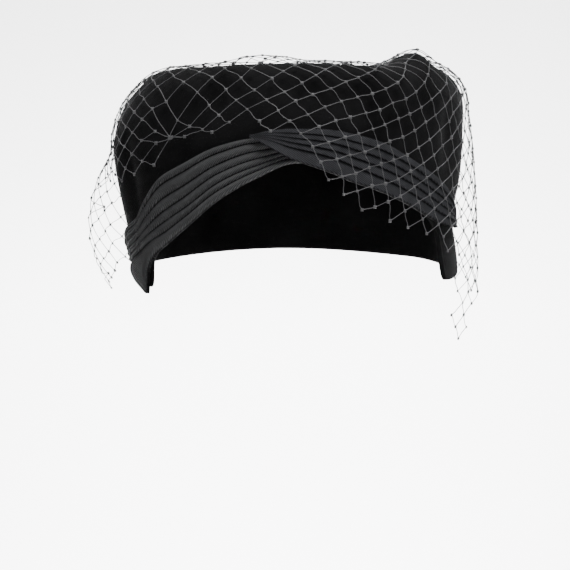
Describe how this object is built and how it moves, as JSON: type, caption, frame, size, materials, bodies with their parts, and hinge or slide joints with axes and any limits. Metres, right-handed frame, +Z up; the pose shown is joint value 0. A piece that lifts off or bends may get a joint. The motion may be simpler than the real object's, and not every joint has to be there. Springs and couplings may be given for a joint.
{
  "type": "pillbox hat with crossed pleated bands and a net veil",
  "caption": "Draped velvet pillbox hat with crossed pleated bands arching over the forehead and a diamond net veil over it.",
  "frame": {"origin": "centre of the head opening, level with the lowest point of the hat's rim", "axes": "+Z up along the crown's axis, -Y the front where the bands cross, +X the wearer's left"},
  "size_m": [0.2077, 0.2189, 0.154],
  "materials": {
    "velvet": "black silk velvet with a soft sheen at grazing angles",
    "ribbed_cloth": "charcoal black ribbed dress cloth in soft pleats",
    "net": "black diamond hat net of fine stiffened thread"
  },
  "bodies": {
    "root": {"crown": "velvet", "band_wearers_right": "ribbed_cloth", "band_wearers_left": "ribbed_cloth", "veil": "net"}
  },
  "joints": []
}
